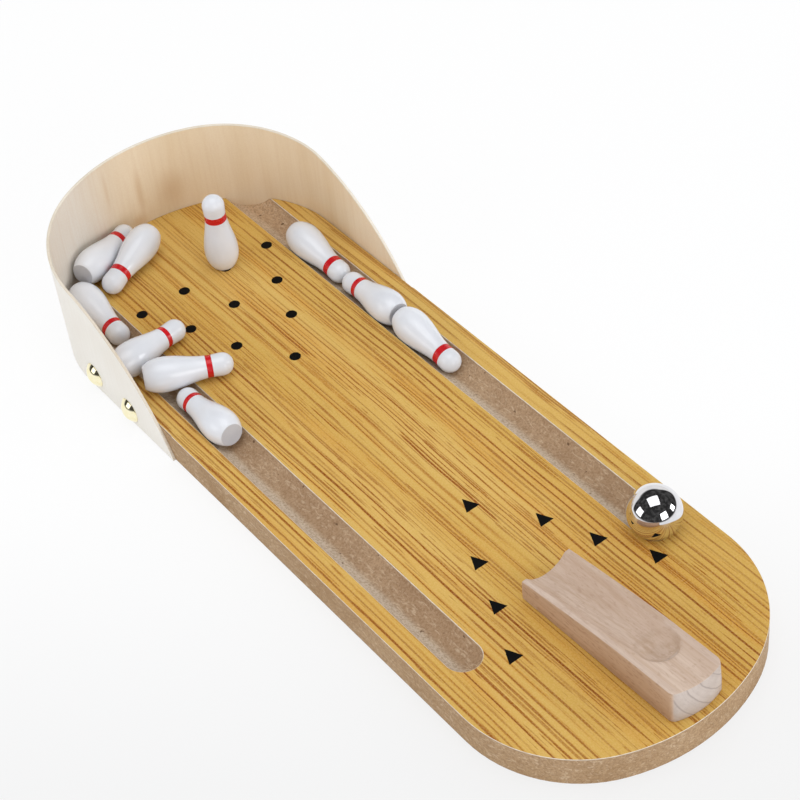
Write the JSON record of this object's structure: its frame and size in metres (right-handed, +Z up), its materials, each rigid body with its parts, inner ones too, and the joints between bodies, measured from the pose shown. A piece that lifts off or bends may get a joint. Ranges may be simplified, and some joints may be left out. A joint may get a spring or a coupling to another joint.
{
  "type": "table bowling game",
  "caption": "Desktop bowling game: wooden lane with gutters, bent guard behind the pins, launching ramp, steel ball and small white pins, most of them fallen.",
  "frame": {"origin": "on the underside, under the middle of the part's box", "axes": "+Z up from the table; +Y along the lane from the player's ramp to the pins; +X to the player's right"},
  "size_m": [0.1132, 0.3052, 0.0467],
  "materials": {
    "mdf": "matte fibreboard",
    "laminate": "satin printed laminate",
    "ink": "printed ink",
    "plywood": "thin birch plywood",
    "brass": "polished",
    "beech": "sanded",
    "chrome": "polished",
    "pin_white": "gloss paint on wood",
    "band_red": "gloss paint"
  },
  "bodies": {
    "board": {"board_core": "mdf", "lane_laminate": "laminate", "pin_spots": "ink", "aiming_arrows": "ink", "guard": "plywood", "guard_nails": "brass"},
    "ramp": {"ramp": "beech"},
    "ball": {"ball": "chrome"},
    "pin_1": {"pin_1": "pin_white", "band_1": "band_red"},
    "pin_2": {"pin_2": "pin_white", "band_2": "band_red"},
    "pin_3": {"pin_3": "pin_white", "band_3": "band_red"},
    "pin_4": {"pin_4": "pin_white", "band_4": "band_red"},
    "pin_5": {"pin_5": "pin_white", "band_5": "band_red"},
    "pin_6": {"pin_6": "pin_white", "band_6": "band_red"},
    "pin_7": {"pin_7": "pin_white", "band_7": "band_red"},
    "pin_8": {"pin_8": "pin_white", "band_8": "band_red"},
    "pin_9": {"pin_9": "pin_white", "band_9": "band_red"},
    "pin_10": {"pin_10": "pin_white", "band_10": "band_red"}
  },
  "joints": [
    {"name": "ramp_aim", "type": "hinge", "parent": "board", "child": "ramp", "pos_m": [-0.0013, -0.0831, 0.0116], "axis": [0, 0, 1], "range_deg": [-12, 12]},
    {"name": "ball_roll", "type": "slide", "parent": "board", "child": "ball", "axis": [0, 1, 0], "range_m": [0, 0.091]},
    {"name": "pin_1_lift", "type": "slide", "parent": "board", "child": "pin_1", "axis": [0, 0, 1], "range_m": [0, 0.06]},
    {"name": "pin_2_lift", "type": "slide", "parent": "board", "child": "pin_2", "axis": [0, 0, 1], "range_m": [0, 0.06]},
    {"name": "pin_3_lift", "type": "slide", "parent": "board", "child": "pin_3", "axis": [0, 0, 1], "range_m": [0, 0.06]},
    {"name": "pin_4_lift", "type": "slide", "parent": "board", "child": "pin_4", "axis": [0, 0, 1], "range_m": [0, 0.06]},
    {"name": "pin_5_lift", "type": "slide", "parent": "board", "child": "pin_5", "axis": [0, 0, 1], "range_m": [0, 0.06]},
    {"name": "pin_6_lift", "type": "slide", "parent": "pin_7", "child": "pin_6", "axis": [0, 0, 1], "range_m": [0, 0.06]},
    {"name": "pin_7_lift", "type": "slide", "parent": "board", "child": "pin_7", "axis": [0, 0, 1], "range_m": [0, 0.06]},
    {"name": "pin_8_lift", "type": "slide", "parent": "board", "child": "pin_8", "axis": [0, 0, 1], "range_m": [0, 0.06]},
    {"name": "pin_9_lift", "type": "slide", "parent": "board", "child": "pin_9", "axis": [0, 0, 1], "range_m": [0, 0.06]},
    {"name": "pin_10_lift", "type": "slide", "parent": "board", "child": "pin_10", "axis": [0, 0, 1], "range_m": [0, 0.06]}
  ]
}
